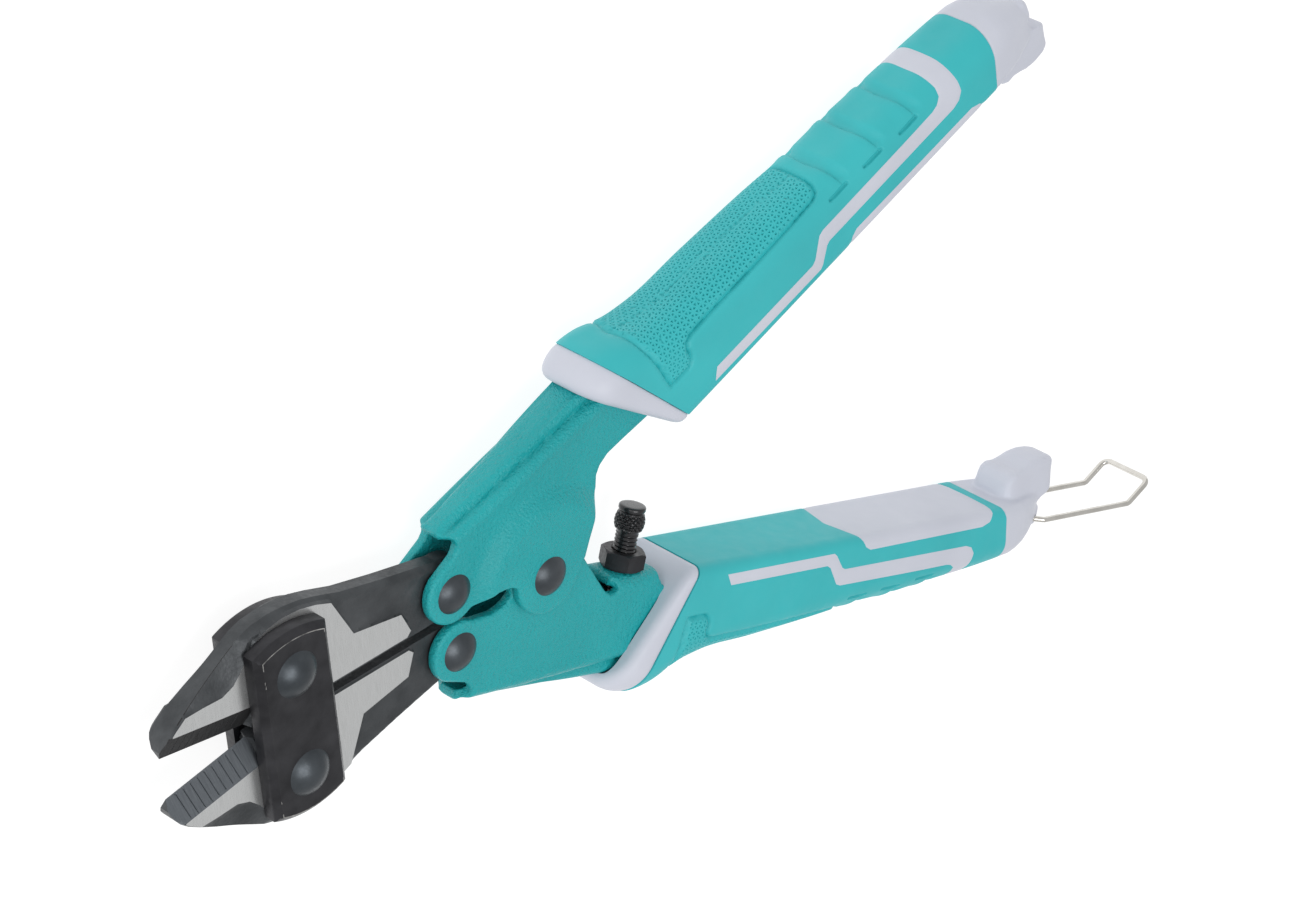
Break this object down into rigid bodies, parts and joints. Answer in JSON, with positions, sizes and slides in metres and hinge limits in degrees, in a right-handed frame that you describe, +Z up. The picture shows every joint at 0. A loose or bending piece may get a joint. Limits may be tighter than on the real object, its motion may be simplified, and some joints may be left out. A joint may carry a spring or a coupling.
{
  "type": "bolt cutters",
  "caption": "Compact compound-action bolt cutters with forged jaws, riveted link plates, pressed-steel handles, two-tone moulded grips, a knurled stop screw and a wire closing latch.",
  "frame": {"origin": "centre of the bounding box at its base, with the tool lying flat and its handles open", "axes": "+X from the jaws towards the grips along the tool's centre line, +Y towards the upper handle, +Z up, along the pivots"},
  "size_m": [0.2303, 0.1198, 0.016],
  "materials": {
    "forged_steel": "forged, ground on the bearing flats",
    "black_steel": "black oxide",
    "teal_paint": "fine textured powder coat",
    "grey_plastic": "fine satin",
    "teal_rubber": "soft matte",
    "steel_wire": "bright drawn wire"
  },
  "bodies": {
    "lower_handle": {"handle_lower": "teal_paint", "grip_core_lower": "grey_plastic", "grip_cover_lower": "teal_rubber", "grip_band_lower": "grey_plastic", "grip_inlay_lower": "grey_plastic", "end_cap_lower": "grey_plastic", "main_rivet": "black_steel", "pivot_spacer": "black_steel", "knuckle_rivet_lower": "black_steel"},
    "upper_handle": {"handle_upper": "teal_paint", "grip_core_upper": "grey_plastic", "grip_cover_upper": "teal_rubber", "grip_band_upper": "grey_plastic", "grip_inlay_upper": "grey_plastic", "end_cap_upper": "grey_plastic", "knuckle_rivet_upper": "black_steel"},
    "upper_jaw": {"jaw_upper": "forged_steel"},
    "lower_jaw": {"jaw_lower": "forged_steel"},
    "link_plates": {"link_plate_front": "black_steel", "link_plate_rear": "black_steel", "jaw_rivet_upper": "black_steel", "jaw_rivet_lower": "black_steel"},
    "stop_screw": {"stop_screw": "black_steel"},
    "lock_nut": {"lock_nut": "black_steel"},
    "wire_latch": {"wire_latch": "steel_wire"}
  },
  "joints": [
    {"name": "handles_close", "type": "hinge", "parent": "lower_handle", "child": "upper_handle", "pos_m": [-0.03764, 0.00304, 0.008], "axis": [0, 0, -1], "range_deg": [0, 37.2]},
    {"name": "lower_jaw_turn", "type": "hinge", "parent": "lower_handle", "child": "lower_jaw", "pos_m": [-0.05664, -0.00276, 0.008], "axis": [0, 0, -1], "range_deg": [0, 28.3]},
    {"name": "upper_jaw_turn", "type": "hinge", "parent": "upper_handle", "child": "upper_jaw", "pos_m": [-0.05664, 0.00884, 0.008], "axis": [0, 0, -1], "range_deg": [-28.3, 0]},
    {"name": "link_turn", "type": "hinge", "parent": "upper_jaw", "child": "link_plates", "pos_m": [-0.09084, 0.01274, 0.008], "axis": [0, 0, -1], "range_deg": [0, 9.7]},
    {"name": "stop_screw_advance", "type": "slide", "parent": "lower_handle", "child": "stop_screw", "axis": [0.3453, 0.9385, 0], "range_m": [-0.0025, 0.0017]},
    {"name": "lock_nut_turn", "type": "hinge", "parent": "lower_handle", "child": "lock_nut", "pos_m": [-0.01601, -0.00769, 0.008], "axis": [0.3453, 0.9385, 0], "continuous": true},
    {"name": "latch_swing", "type": "hinge", "parent": "lower_handle", "child": "wire_latch", "pos_m": [0.08294, -0.05006, 0.008], "axis": [0, 0, 1], "range_deg": [-70, 90]}
  ],
  "couplings": [
    {"joint": "lower_jaw_turn", "follows": "handles_close", "ratio": 0.75806},
    {"joint": "upper_jaw_turn", "follows": "handles_close", "ratio": -0.75806},
    {"joint": "link_turn", "follows": "handles_close", "ratio": 0.25806}
  ]
}
